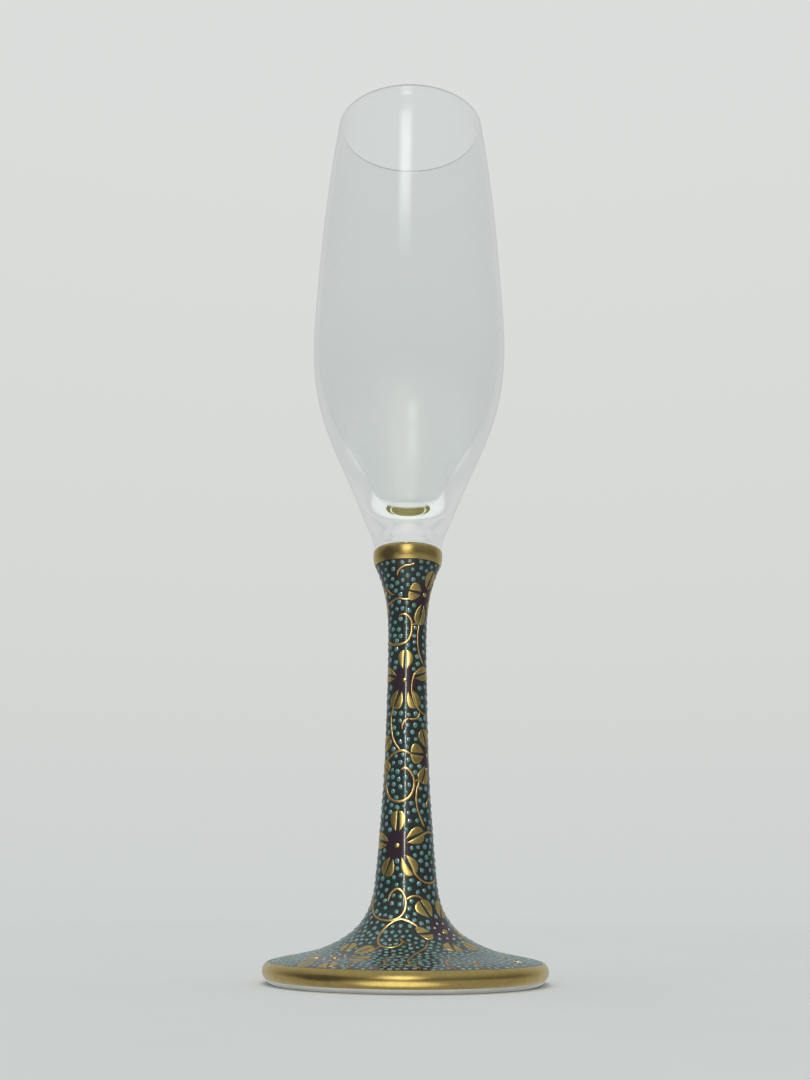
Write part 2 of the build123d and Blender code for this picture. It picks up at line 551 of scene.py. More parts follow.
def add_lobe(buffer, s0, phi0, petal, side):
    """Half a petal, from its dark midrib out to its edge. Returns the places it covers."""
    direction, inner, outer, width = petal
    angle = math.radians(direction)
    t = (1 - np.cos(np.linspace(0, math.pi, LOBE_ROWS))) / 2
    wobble = 1 + WOBBLE[0] * np.sin(WOBBLE[1] * t + rng.uniform(0, ANY_PHASE))
    wobble = wobble + rng.uniform(-UNEVEN, UNEVEN)
    rib = RIB / 2 * (1 + RIB_FLARE * (1 - t) ** RIB_POWER)
    edge = np.maximum(width / 2 * petal_width(t) * wobble, rib + LEAST_LOBE)
    share = np.array([q for q, _ in LOBE_ACROSS])
    lift = np.array([h for _, h in LOBE_ACROSS])
    reach = inner + t[:, None] * (outer - inner)
    out = side * (rib[:, None] + (edge - rib)[:, None] * share[None, :])
    height = np.broadcast_to(lift, out.shape).copy()
    for end, beside in ((0, 1), (-1, -2)):
        height[end] = LOBE_SINK
        height[beside] = np.minimum(height[beside], LOBE_SHOULDER)
    a = reach * math.cos(angle) - out * math.sin(angle)
    b = reach * math.sin(angle) + out * math.cos(angle)
    s = np.clip(s0 + b, SKIN_MARGIN, SKIN_LENGTH - SKIN_MARGIN)
    phi = phi0 + a / skin_radius(s)
    top = on_skin(s, phi, height)
    under = on_skin(s, phi, LOBE_UNDERSIDE)
    faces = closed_grid(*out.shape)
    if side < 0:
        faces = [f[::-1] for f in faces]
    buffer.add(np.vstack([top.reshape(-1, 3), under.reshape(-1, 3)]), faces)
    return s[1:-1, 1:-1].ravel(), phi[1:-1, 1:-1].ravel()


DOME_SINK = 0.035


def dome_pattern(rings, segments):
    """Shares of radius and of height of the rings of a small flat-based dome, and its faces."""
    share = np.cos(np.linspace(0, math.pi / 2, rings + 1))[:-1]
    height = np.sin(np.linspace(0, math.pi / 2, rings + 1))[:-1]
    faces = grid_faces(rings, segments, True)
    tip = rings * segments
    for j in range(segments):
        faces.append([(rings - 1) * segments + j, (rings - 1) * segments + (j + 1) % segments, tip])
    faces.append(list(range(segments))[::-1])
    return share, height, faces


def add_dome(buffer, s, phi, radius, height, pattern, stretch=1.0, twist=0.0, mark=0.0):
    """A dome set into the glaze. Returns each vertex's share of its height."""
    share, rise, faces = pattern
    segments = len(faces[-1])
    theta = np.linspace(0, 2 * math.pi, segments, endpoint=False)
    x = share[:, None] * np.cos(theta) * radius * stretch
    y = share[:, None] * np.sin(theta) * radius / stretch
    a = x * math.cos(twist) - y * math.sin(twist)
    b = x * math.sin(twist) + y * math.cos(twist)
    lift = np.broadcast_to((rise * (height + DOME_SINK) - DOME_SINK)[:, None], a.shape)
    ring = on_skin(s + b, phi + a / skin_radius(s), lift).reshape(-1, 3)
    verts = np.vstack([ring, on_skin(s, phi, height).reshape(1, 3)])
    buffer.add(verts, faces, mark)
    return np.r_[np.repeat(rise, segments), 1.0]


# ---------------------------------------------------------------- make the gold ornament
HALF_TURN = math.pi
HEART_DOME = dome_pattern(6, 22)
HEART_RADIUS = {"large": 0.78, "small": 0.56}
HEART_HEIGHT = 0.24
HEART_STRETCH = 1.06
HEART_TWIST = 0.4
STAMEN_DOME = dome_pattern(4, 12)
STAMENS = {"large": 8, "small": 0}
STAMEN_RING = 2.35
STAMEN_STRAY = 0.15
STAMEN_START = 0.3
STAMEN_RADIUS = 0.34
STAMEN_HEIGHT = 0.14
# The dots keep off each flower's disc, and off a line down each petal.
DISC_RADIUS = {"large": 3.4, "small": 2.6}
DISC_STEP = 0.5
DISC_POINTS_PER_MM = 12
MIDRIB_POINTS = 14
MIDRIB_END = 0.3
LINE_SAMPLE = 0.25

petals, vines, hearts, stamens = Buffer(), Buffer(), Buffer(), Buffer()
petal_points, heart_points, line_points = [], [], []


def from_centre(s0, phi0, reach, angle):
    """The place that lies reach mm from a flower's centre, at an angle from its right."""
    s = s0 + reach * math.sin(angle)
    return s, phi0 + reach * math.cos(angle) / skin_radius(s)


def add_flower(s0, phi0, shapes, size):
    """A flower's petals, heart and stamens, and the points that it covers."""
    for petal in shapes:
        for side in (1, -1):
            petal_points.append(on_skin(*add_lobe(petals, s0, phi0, petal, side)))
        direction, _, outer, _ = petal
        reach = np.linspace(0, outer - MIDRIB_END, MIDRIB_POINTS)
        petal_points.append(on_skin(*from_centre(s0, phi0, reach, math.radians(direction))))
    radius = HEART_RADIUS[size]
    add_dome(hearts, s0, phi0, radius, HEART_HEIGHT, HEART_DOME, HEART_STRETCH, HEART_TWIST)
    for k in range(STAMENS[size]):
        angle = 2 * math.pi * k / STAMENS[size] + STAMEN_START
        reach = STAMEN_RING + rng.uniform(-STAMEN_STRAY, STAMEN_STRAY)
        s, phi = from_centre(s0, phi0, reach, angle)
        add_dome(stamens, s, phi, STAMEN_RADIUS, STAMEN_HEIGHT, STAMEN_DOME)
    for reach in np.arange(0, DISC_RADIUS[size], DISC_STEP):
        count = max(1, int(reach * DISC_POINTS_PER_MM))
        for k in range(count):
            place = on_skin(*from_centre(s0, phi0, reach, 2 * math.pi * k / count))
            heart_points.append(place.reshape(1, 3))


vine_lines = [(w, stem_vine(p)) for w, p in STEM_VINES]
vine_lines += [(w, foot_vine(p)) for w, p in FOOT_VINES]
for turn in (0.0, HALF_TURN):
    for name, s0, degrees, shapes in FLOWERS:
        size = "large" if name in LARGE_FLOWERS else "small"
        add_flower(s0, math.radians(degrees) + turn, shapes, size)
    for width, points in vine_lines:
        add_vine(vines, points, width, turn)
        line, _ = vine_curve(points, LINE_SAMPLE)
        line_points.append(on_skin(line[:, 0], line[:, 1] + turn))


def tree_of(points):
    """A tree that finds the nearest of the points."""
    tree = KDTree(len(points))
    for i, p in enumerate(points):
        tree.insert(p, i)
    tree.balance()
    return tree


petal_tree = tree_of(np.vstack(petal_points + heart_points))
heart_tree = tree_of(np.vstack(heart_points))
line_tree = tree_of(np.vstack(line_points))

# ---------------------------------------------------------------- enamel dots
PITCH_FOOT = 1.48
PITCH_STEM = 1.62
FOOT_END_S = 17.0
STEM_START_S = 26.0
DOT_TRIES = 60000
NEAREST_SHARE = 0.80
CLEAR_OF_PETAL = 0.80
CLEAR_OF_LINE = 0.84
CLEAR_OF_BAND = 0.62
CLEAR_OF_COLLAR = 0.55
RELAX_ROUNDS = 5
RELAX_REACH = 1.12
RELAX_PUSH = 0.22
SAME_PLACE = 1e-6


def stem_share(s):
    """0 on the foot and 1 on the stem, with a steady change between."""
    return share_of(s, FOOT_END_S, STEM_START_S - FOOT_END_S)


def pitch_at(s):
    return PITCH_FOOT + (PITCH_STEM - PITCH_FOOT) * stem_share(s)


def free(p, s):
    """True where a dot centred at p keeps clear of gold and of the skin's two ends."""
    if s < CLEAR_OF_BAND or s > SKIN_LENGTH - CLEAR_OF_COLLAR:
        return False
    if petal_tree.find(p)[2] < CLEAR_OF_PETAL:
        return False
    return line_tree.find(p)[2] >= CLEAR_OF_LINE


def closer(p, q, gap):
    """True where two points are less than a gap apart."""
    return (q[0] - p[0]) ** 2 + (q[1] - p[1]) ** 2 + (q[2] - p[2]) ** 2 < gap * gap


def scatter_dots():
    """Random places over the skin, no two of them too near."""
    area_share = np.cumsum(SKIN[:, 0])
    area_share /= area_share[-1]
    cells, places = {}, []
    for _ in range(DOT_TRIES):
        s = float(np.interp(rng.random(), area_share, SKIN_S))
        phi = rng.uniform(-math.pi, math.pi)
        p = on_skin(s, phi)
        gap = pitch_at(s) * NEAREST_SHARE
        key = tuple(int(c // PITCH_STEM) for c in p)
        near = [
            q
            for i in (-1, 0, 1)
            for j in (-1, 0, 1)
            for k in (-1, 0, 1)
            for q in cells.get((key[0] + i, key[1] + j, key[2] + k), ())
        ]
        if any(closer(p, q, gap) for q in near):
            continue
        if free(p, s):
            cells.setdefault(key, []).append(p)
            places.append([s, phi])
    return places


def relax(dots):
    """The dots push one another apart until they sit evenly, as a careful hand sets them."""
    centres = np.array([on_skin(s, phi) for s, phi in dots])
    tree = tree_of(centres)
    for i, (s, phi) in enumerate(dots):
        reach = pitch_at(s) * RELAX_REACH
        move = np.zeros(3)
        for _, j, d in tree.find_range(centres[i], reach):
            if j != i and d > SAME_PLACE:
                move += (centres[i] - centres[j]) / d * (reach - d) * RELAX_PUSH
        tr, tz = skin_slope(s)
        up = np.array([math.sin(phi), -math.cos(phi), 0.0]) * tr + np.array([0, 0, tz])
        sideways = np.array([math.cos(phi), math.sin(phi), 0.0])
        new_s = s + float(move @ up)
        new_phi = phi + float(move @ sideways) / skin_radius(s)
        if free(on_skin(new_s, new_phi), new_s):
            dots[i] = [new_s, new_phi]


dots = scatter_dots()
for _ in range(RELAX_ROUNDS):
    relax(dots)

STEM_SPLIT_S = 24.0
DOT_DOME = dome_pattern(3, 10)
DOT_RADIUS = 0.53
DOT_STEM_EXTRA = 0.03
DOT_SIZES = (0.84, 1.12)
DOT_HEIGHTS = (0.19, 0.25)
DOT_STRETCHES = (0.94, 1.08)
dot_parts = {"enamel_dots_foot": (Buffer(), []), "enamel_dots_stem": (Buffer(), [])}
for s, phi in dots:
    radius = (DOT_RADIUS + DOT_STEM_EXTRA * stem_share(s)) * rng.uniform(*DOT_SIZES)
    buffer, crown = dot_parts["enamel_dots_stem" if s > STEM_SPLIT_S else "enamel_dots_foot"]
    height = radius * rng.uniform(*DOT_HEIGHTS)
    stretch = rng.uniform(*DOT_STRETCHES)
    twist = rng.uniform(0, math.pi)
    tone = rng.random()
    crown.append(add_dome(buffer, s, phi, radius, height, DOT_DOME, stretch, twist, tone))


# ---------------------------------------------------------------- node helpers
# The Mix node's sockets for colours, by number, because names repeat among them
MIX_FACTOR, MIX_A, MIX_B, MIX_COLOUR = 0, 6, 7, 2
MOST_NOISE = (0.3, 0.7)


def new_material(name):
    mat = bpy.data.materials.new(name)
    mat.use_nodes = True
    tree = mat.node_tree
    return mat, tree, tree.nodes["Principled BSDF"]


def add(tree, kind, inputs=None, **settings):
    """A new node with its inputs set to values or linked to sockets."""
    n = tree.nodes.new("ShaderNode" + kind)
    for key, value in settings.items():
        setattr(n, key, value)
    for key, value in (inputs or {}).items():
        if isinstance(value, bpy.types.NodeSocket):
            tree.links.new(value, n.inputs[key])
        else:
            n.inputs[key].default_value = value
    return n


def place(tree):
    return add(tree, "TexCoord").outputs["Object"]


def noise(tree, per_mm, detail=3.0, roughness=0.55, stretch=None):
    """Noise in the object's own space, per_mm features to the millimetre."""
    where = place(tree)
    if stretch:
        where = add(tree, "Mapping", {"Vector": where, "Scale": stretch}).outputs["Vector"]
    inputs = {"Vector": where, "Scale": per_mm / MM, "Detail": detail, "Roughness": roughness}
    return add(tree, "TexNoise", inputs).outputs["Fac"]


def span(tree, value, low, high, to_low=0.0, to_high=1.0):
    inputs = {"Value": value, "From Min": low, "From Max": high, "To Min": to_low, "To Max": to_high}
    return add(tree, "MapRange", inputs, clamp=True).outputs["Result"]


def smooth_span(tree, value, low, high):
    """From 0 to 1 between low and high, eased at both ends."""
    result = span(tree, value, low, high)
    result.node.interpolation_type = "SMOOTHSTEP"
    return result


def blend(tree, share, a, b):
    """Colour a, turning to b as share goes from 0 to 1."""
    n = add(tree, "Mix", data_type="RGBA")
    for index, value in ((MIX_FACTOR, share), (MIX_A, a), (MIX_B, b)):
        if isinstance(value, bpy.types.NodeSocket):
            tree.links.new(value, n.inputs[index])
        else:
            n.inputs[index].default_value = value if index == MIX_FACTOR else (*value, 1.0)
    return n.outputs[MIX_COLOUR]


def attribute(tree, name):
    return add(tree, "Attribute", attribute_name=name).outputs["Fac"]


def maths(tree, operation, a, b=0.0):
    return add(tree, "Math", {0: a, 1: b}, operation=operation).outputs[0]


def mottle(tree, per_mm, a, b, low=MOST_NOISE[0], high=MOST_NOISE[1], detail=3.0):
    """Two colours in soft patches."""
    return blend(tree, span(tree, noise(tree, per_mm, detail), low, high), a, b)


def colour(tree, bsdf, value):
    tree.links.new(value, bsdf.inputs["Base Color"])


def vary_roughness(tree, bsdf, pattern, low, high):
    tree.links.new(span(tree, pattern, *MOST_NOISE, low, high), bsdf.inputs["Roughness"])


def bump(tree, bsdf, height, strength, distance_mm):
    n = add(tree, "Bump", {"Height": height, "Strength": strength, "Distance": distance_mm * MM})
    tree.links.new(n.outputs["Normal"], bsdf.inputs["Normal"])


def set_sockets(bsdf, **values):
    """Sets sockets by their names, written with _ for each space."""
    for name, value in values.items():
        bsdf.inputs[name.replace("_", " ")].default_value = value


def mix_to_surface(tree, share, a, b):
    """The surface is shader a, turning to b as share goes from 0 to 1."""
    both = add(tree, "MixShader", {0: share, 1: a.outputs[0]})
    tree.links.new(b.outputs[0], both.inputs[2])
    tree.links.new(both.outputs[0], tree.nodes["Material Output"].inputs["Surface"])


# ---------------------------------------------------------------- materials
# Colours are linear. Numbers after noise are features to the mm, and those after span the range
# of the noise that is used, then the range it turns into.
TEAL_DEEP = (0.026, 0.031, 0.027)
TEAL_GLOW = (0.026, 0.048, 0.046)
AUBERGINE = (0.040, 0.026, 0.036)
OUTLINE_BROWN = (0.052, 0.021, 0.016)
WHITE_GLAZE = (0.88, 0.875, 0.85)
WHITE_POOL = (0.78, 0.79, 0.78)
SPECK_BROWN = (0.42, 0.38, 0.32)
ENAMEL_RIM = (0.012, 0.058, 0.060)
ENAMEL_TURQUOISE = (0.066, 0.182, 0.176)
ENAMEL_GREEN = (0.048, 0.166, 0.128)
ENAMEL_BLUE = (0.090, 0.160, 0.198)
ENAMEL_PALE = (0.165, 0.290, 0.280)
STAMEN_PALE = (0.30, 0.36, 0.36)
STAMEN_GREY = (0.20, 0.22, 0.26)
LIGHT_THROUGH = (0.95, 0.955, 0.95, 1.0)
GLASS_TINT = (0.985, 0.993, 0.990)
# Painted shade: the glass of the bowl's inner wall is greyed as if a shadow lay behind it.
CAVITY_PAINTED_SHADE = (0.860, 0.890, 0.888)
# Painted shade: the glass of the lip is darkened so that the rim reads as a dark line.
LIP_PAINTED_SHADE = (0.60, 0.64, 0.64)
FILM_CLEAR = (0.95, 0.94, 0.88)
FILM_YELLOW = (0.90, 0.90, 0.82)
BAND_GOLD = ((0.70, 0.54, 0.19), (0.60, 0.445, 0.17))
PETAL_GOLD = ((0.64, 0.49, 0.175), (0.46, 0.34, 0.125))
VINE_GOLD = ((0.66, 0.49, 0.19), (0.50, 0.34, 0.16))
SEAT_GOLD = ((0.72, 0.67, 0.26), (0.60, 0.55, 0.21))
GLASS_IOR = 1.52
FILM_IOR = 1.5
GLAZE_IOR = 1.48
ENAMEL_COAT_IOR = 1.7
BRUSHED_ROUND = (1, 1, 3.5)


def painted_glaze():
    """Dark translucent ground between the dots, turning aubergine round the flowers."""
    mat, tree, bsdf = new_material("painted_glaze")
    ground = mottle(tree, 0.9, TEAL_DEEP, TEAL_GLOW, 0.35, 0.68, detail=4.0)
    cloud = span(tree, noise(tree, 1.6), 0, 1, -0.22, 0.22)
    soft = maths(tree, "ADD", attribute(tree, "bloom"), cloud)
    ground = blend(tree, span(tree, soft, 0.3, 0.7), ground, AUBERGINE)
    gaps = span(tree, noise(tree, 1.1), 0.3, 0.6, 0.35, 1)
    line = maths(tree, "MULTIPLY", attribute(tree, "outline"), gaps)
    colour(tree, bsdf, blend(tree, line, ground, OUTLINE_BROWN))
    vary_roughness(tree, bsdf, noise(tree, 2.4), 0.06, 0.14)
    set_sockets(bsdf, IOR=GLAZE_IOR, Specular_IOR_Level=0.36)
    bump(tree, bsdf, noise(tree, 1.3, detail=2.0), strength=0.30, distance_mm=0.04)
    return mat


def white_glaze():
    """White glaze with pale pools and a few specks."""
    mat, tree, bsdf = new_material("white_glaze")
    body = mottle(tree, 0.12, WHITE_GLAZE, WHITE_POOL, 0.4, 0.7)
    speck = span(tree, noise(tree, 1.9, detail=1.0), 0.76, 0.80)
    colour(tree, bsdf, blend(tree, speck, body, SPECK_BROWN))
    vary_roughness(tree, bsdf, noise(tree, 0.8), 0.10, 0.24)
    set_sockets(bsdf, Coat_Weight=0.4, Coat_Roughness=0.06)
    bump(tree, bsdf, noise(tree, 0.5, detail=2.0), strength=0.3, distance_mm=0.05)
    return mat


def fired_gold(name, golds, rough, grain, relief, streak=None, metal=1.0):
    """Fired gold: satin metal with worn, browner patches and a fine brushed grain."""
    mat, tree, bsdf = new_material(name)
    bright, worn = golds
    patches = span(tree, noise(tree, 0.55, detail=4.0, roughness=0.6), 0.38, 0.72)
    colour(tree, bsdf, blend(tree, patches, bright, worn))
    set_sockets(bsdf, Metallic=metal)
    fine = noise(tree, grain, roughness=0.6, stretch=streak)
    vary_roughness(tree, bsdf, fine, rough - 0.05, rough + 0.06)
    bump(tree, bsdf, fine, relief, distance_mm=0.03)
    return mat


def turquoise_enamel():
    """Turquoise glass enamel: thin and dark at a dot's rim, paler where it is thick."""
    mat, tree, bsdf = new_material("turquoise_enamel")
    tone = attribute(tree, "tone")
    crown = attribute(tree, "crown")
    hue = blend(tree, span(tree, tone, 0.0, 0.35), ENAMEL_GREEN, ENAMEL_TURQUOISE)
    hue = blend(tree, span(tree, tone, 0.55, 0.85), hue, ENAMEL_BLUE)
    hue = blend(tree, span(tree, tone, 0.90, 1.0, 0.0, 0.55), hue, ENAMEL_PALE)
    depth = maths(tree, "ADD", crown, span(tree, noise(tree, 1.2), 0.0, 1.0, -0.25, 0.25))
    colour(tree, bsdf, blend(tree, span(tree, depth, 0.05, 0.70), ENAMEL_RIM, hue))
    vary_roughness(tree, bsdf, noise(tree, 2.0), 0.06, 0.14)
    set_sockets(bsdf, Coat_Weight=1.0, Coat_Roughness=0.02, Coat_IOR=ENAMEL_COAT_IOR)
    return mat


def stamen_enamel():
    """The pale grey-blue enamel of the stamens' dots."""
    mat, tree, bsdf = new_material("stamen_enamel")
    colour(tree, bsdf, mottle(tree, 1.0, STAMEN_PALE, STAMEN_GREY))
    vary_roughness(tree, bsdf, noise(tree, 2.0), 0.12, 0.25)
    return mat


def let_lamps_through(tree, bsdf):
    """Shadow rays pass, so that clear glass throws a faint shadow and not a black one."""
    path = add(tree, "LightPath")
    through = add(tree, "BsdfTransparent", {"Color": LIGHT_THROUGH})
    mix_to_surface(tree, path.outputs["Is Shadow Ray"], bsdf, through)


def clear_glass(name, tint):
    """Clear glass with the faint waviness of a blown bowl. Its colour is the glass's faint tint, and
    painted shade where the bowl's inside and lip are greyed.
    """
    mat, tree, bsdf = new_material(name)
    set_sockets(bsdf, Base_Color=(*tint, 1.0), Roughness=0.0, IOR=GLASS_IOR)
    set_sockets(bsdf, Transmission_Weight=1.0)
    bump(tree, bsdf, noise(tree, 0.05, detail=1.0), strength=0.02, distance_mm=0.2)
    let_lamps_through(tree, bsdf)
    return mat


def clear_film():
    """The bond: a clear film, a little yellow in patches."""
    mat, tree, bsdf = new_material("clear_bond_film")
    colour(tree, bsdf, mottle(tree, 0.5, FILM_CLEAR, FILM_YELLOW))
    vary_roughness(tree, bsdf, noise(tree, 1.5), 0.04, 0.16)
    set_sockets(bsdf, IOR=FILM_IOR, Transmission_Weight=1.0)
    let_lamps_through(tree, bsdf)
    return mat


MAT_PAINTED = painted_glaze()
MAT_WHITE = white_glaze()
MAT_PETAL = fired_gold("fired_gold_petals", PETAL_GOLD, rough=0.36, grain=2.0, relief=0.2)
MAT_VINE = fired_gold("fired_gold_vines", VINE_GOLD, rough=0.34, grain=2.0, relief=0.2)
MAT_BAND = fired_gold(
    "fired_gold_bands", BAND_GOLD, rough=0.22, grain=0.5, relief=0.05, streak=BRUSHED_ROUND
)
MAT_SEAT = fired_gold(
    "fired_gold_seat", SEAT_GOLD, rough=0.6, grain=0.8, relief=0.05, metal=0.2
)
MAT_ENAMEL = turquoise_enamel()
MAT_STAMEN = stamen_enamel()
MAT_GLASS = clear_glass("clear_glass", GLASS_TINT)
# Painted shade inside the bowl: a grey that stands for a shadow behind the glass.
MAT_CAVITY_SHADE = clear_glass("clear_glass_inside_painted_shade", CAVITY_PAINTED_SHADE)
# Painted shade along the lip, which draws the rim as a dark line.
MAT_LIP_SHADE = clear_glass("clear_glass_lip_painted_shade", LIP_PAINTED_SHADE)
MAT_FILM = clear_film()


# ---------------------------------------------------------------- pieces
SKIN_STEP = 0.42
BAND_STEP = 0.6
GLASS_STEP = 0.9
BODY_SEGMENTS = 288
GLASS_SEGMENTS = 256
PAINT_DEPTH = 0.2
# How far down from the top of the rim the lip's painted shade reaches, in mm.
LIP_SHADE_DEPTH = 0.4
BODY_MATERIALS = [MAT_PAINTED, MAT_WHITE]
PAINTED, WHITE = range(2)
BOWL_MATERIALS = [MAT_GLASS, MAT_SEAT, MAT_CAVITY_SHADE, MAT_LIP_SHADE]
OUTSIDE, SEAT, CAVITY, LIP = range(4)
# The glaze is aubergine near the flowers and brown along the gold. Each pair is the distance in mm
# where that colour begins to fade, and the width of the fade. A band counts as BAND_GAP further off.
BLOOM_FADE = (0.30, 1.1)
OUTLINE_FADE = (0.25, 0.45)
BAND_GAP = 0.1


def settle(obj, slot, *nodes):
    """Rides a piece on the only body, and hides the CAD nodes that it stands for. The slot is not
    used.
    """
    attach(obj, "root")
    if nodes:
        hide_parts(*nodes)
    return obj


def body_material(r, z):
    """Paint covers the porcelain from the top of the foot band to the foot of the collar."""
    outer = r > np.interp(z, SKIN[:, 1], SKIN[:, 0]) - PAINT_DEPTH
    return PAINTED if BAND_TOP < z < COLLAR_LOW and outer else WHITE


profile, loop = section("porcelain_stem", SKIN_STEP)
body = lathe("painted_porcelain", profile, loop, BODY_SEGMENTS, BODY_MATERIALS, body_material)
bloom, outline = [], []
for v in body.data.vertices:
    p = np.array(v.co) / MM
    bloom.append(1 - share_of(heart_tree.find(p)[2], *BLOOM_FADE))
    to_bands = min((p[2] - BAND_TOP) + BAND_GAP, (COLLAR_LOW - p[2]) + BAND_GAP)
    outline.append(1 - share_of(min(line_tree.find(p)[2], to_bands), *OUTLINE_FADE))
set_attribute(body, "bloom", bloom)
set_attribute(body, "outline", outline)
settle(body, "glazed_porcelain", "porcelain_stem")

bands = []
for node in ("gilt_foot_band", "gilt_collar"):
    profile, loop = section(node, BAND_STEP)
    band = lathe(node + "_gold", profile, loop, BODY_SEGMENTS, [MAT_BAND])
    bands.append(settle(band, "fired_gold", node))

profile, loop = section("glass_bowl", GLASS_STEP)
lip = int(profile[:, 1].argmax())
lip_shade_from = profile[lip, 1] - LIP_SHADE_DEPTH
outer_wall, inner_wall = sorted((profile[:lip], profile[lip + 1 :]), key=lambda p: p[:, 1].min())


def off_wall(wall, r, z):
    """How far a point of the section lies from a wall's nearest point."""
    return np.abs(wall - (r, z)).sum(axis=1).min()


def bowl_material(r, z):
    """The bond leaves no air under the bowl, so its flat underside shows the seat's gold."""
    if z < GLASS_BASE + TOUCH and r < GLASS_SEAT:
        return SEAT
    # Painted shade: the lip's faces are darkened into a dark rim line.
    if z > lip_shade_from:
        return LIP
    # Painted shade: the faces of the inner wall are greyed as if a shadow lay behind the glass.
    return CAVITY if off_wall(inner_wall, r, z) < off_wall(outer_wall, r, z) else OUTSIDE


bowl = lathe("clear_bowl", profile, loop, GLASS_SEGMENTS, BOWL_MATERIALS, bowl_material)
settle(bowl, "clear_glass", "glass_bowl")

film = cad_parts["seat_adhesive"]
film.data.materials.clear()
film.data.materials.append(MAT_FILM)


def piece_from(name, buffer, material, slot):
    """A piece of the ornament, from the forms that a buffer holds."""
    verts = np.vstack(buffer.verts)
    return settle(new_object(name, verts, buffer.faces, [material], ORNAMENT_SHARP_DEG), slot)


gold_lit = [
    piece_from("gold_petals", petals, MAT_PETAL, "fired_gold"),
    piece_from("gold_vines", vines, MAT_VINE, "fired_gold"),
    piece_from("gold_flower_centres", hearts, MAT_PETAL, "fired_gold"),
]
dots_lit = [piece_from("stamen_dots", stamens, MAT_STAMEN, "raised_enamel")]
for name, (buffer, crown) in dot_parts.items():
    obj = piece_from(name, buffer, MAT_ENAMEL, "raised_enamel")
    set_attribute(obj, "tone", np.concatenate(buffer.marks))
    set_attribute(obj, "crown", np.concatenate(crown))
    dots_lit.append(obj)

# ---------------------------------------------------------------- floor
FLOOR_RADIUS = 1600.0
FLOOR_MIDDLE = 20.0
FLOOR_RINGS = 24
FLOOR_SEGMENTS = 96
FLOOR_Z = -0.02
FLOOR_FADE = (0.05, 0.75)
FLOOR_PALE = (0.860, 0.893, 0.880)
FLOOR_PALER = (0.876, 0.909, 0.896)


def pale_floor():
    """A matt floor that fades into the backdrop all round, and is clear from below."""
    mat, tree, bsdf = new_material("pale_floor")
    colour(tree, bsdf, mottle(tree, 0.02, FLOOR_PALE, FLOOR_PALER))
    set_sockets(bsdf, Roughness=0.9, Specular_IOR_Level=0.1)
    reach = add(tree, "VectorMath", {0: place(tree)}, operation="LENGTH").outputs["Value"]
    fade = smooth_span(tree, reach, *FLOOR_FADE)
    below = add(tree, "NewGeometry").outputs["Backfacing"]
    clear = maths(tree, "MAXIMUM", fade, below)
    mix_to_surface(tree, clear, bsdf, add(tree, "BsdfTransparent"))
    return mat


rings = np.r_[0.0, np.geomspace(FLOOR_MIDDLE, FLOOR_RADIUS, FLOOR_RINGS)]
rings = np.array([(r, FLOOR_Z) for r in rings[::-1]])
floor = lathe("pale_floor", rings, False, FLOOR_SEGMENTS, [pale_floor()], sharp_deg=None)
floor.visible_glossy = False

# ---------------------------------------------------------------- backdrop and room
# The camera sees the backdrop, directly and through the glass. Gloss and soft light see the room.
BACKDROP_LOW = (0.617, 0.644, 0.635)
BACKDROP_MID = (0.668, 0.682, 0.660)
BACKDROP_HIGH = (0.712, 0.727, 0.715)
ROOM_LOW = (0.34, 0.34, 0.345)
ROOM_LEVEL = (0.14, 0.14, 0.145)
ROOM_HIGH = (0.40, 0.41, 0.41)
ROOM_BEHIND = (0.50, 0.51, 0.51)
ROOM_DARK = (0.085, 0.085, 0.10)
ROOM_GLOW = (1.42, 1.38, 1.12)
DARK_SIDE = (-0.93, -0.37, 0.0)
GLOW_SIDE = (-0.08, -0.77, -0.63)
# Where one colour turns to the next, by how far a direction points up, back or to a side
LOW_TO_MID = (-0.02, 0.20)
MID_TO_HIGH = (0.20, 0.60)
ROOM_LOW_TO_LEVEL = (-0.15, 0.05)
ROOM_LEVEL_TO_HIGH = (0.15, 0.75)
INTO_DARK = (0.86, 0.95)
INTO_BEHIND = (0.2, 0.8)
INTO_GLOW = (0.81, 0.98)
AFTER_ANY_BOUNCE = 0.5
MIRRORED_BACKDROP = 0.85


def towards(tree, direction, side):
    """How far a direction points to a side, 1 being straight at it."""
    inputs = {0: direction, 1: side}
    return add(tree, "VectorMath", inputs, operation="DOT_PRODUCT").outputs["Value"]


world = bpy.data.worlds.new("studio")
bpy.context.scene.world = world
world.use_nodes = True
tree = world.node_tree
direction = add(tree, "TexCoord").outputs["Generated"]
way = add(tree, "SeparateXYZ", {0: direction})
up, back = way.outputs["Z"], way.outputs["Y"]
backdrop = blend(tree, span(tree, up, *LOW_TO_MID), BACKDROP_LOW, BACKDROP_MID)
backdrop = blend(tree, span(tree, up, *MID_TO_HIGH), backdrop, BACKDROP_HIGH)
room = blend(tree, span(tree, up, *ROOM_LOW_TO_LEVEL), ROOM_LOW, ROOM_LEVEL)
room = blend(tree, span(tree, up, *ROOM_LEVEL_TO_HIGH), room, ROOM_HIGH)
dark = span(tree, towards(tree, direction, DARK_SIDE), *INTO_DARK)
room = blend(tree, dark, room, ROOM_DARK)
room = blend(tree, span(tree, back, *INTO_BEHIND), room, ROOM_BEHIND)
glow = smooth_span(tree, towards(tree, direction, GLOW_SIDE), *INTO_GLOW)
room = blend(tree, glow, room, ROOM_GLOW)
path = add(tree, "LightPath")
through = maths(tree, "GREATER_THAN", path.outputs["Transmission Depth"], AFTER_ANY_BOUNCE)
mirrored = maths(tree, "GREATER_THAN", path.outputs["Glossy Depth"], AFTER_ANY_BOUNCE)
through = maths(tree, "MULTIPLY", through, span(tree, mirrored, 0.0, 1.0, 1.0, MIRRORED_BACKDROP))
plain = maths(tree, "MAXIMUM", path.outputs["Is Camera Ray"], through)
tree.links.new(blend(tree, plain, room, backdrop), tree.nodes["Background"].inputs["Color"])

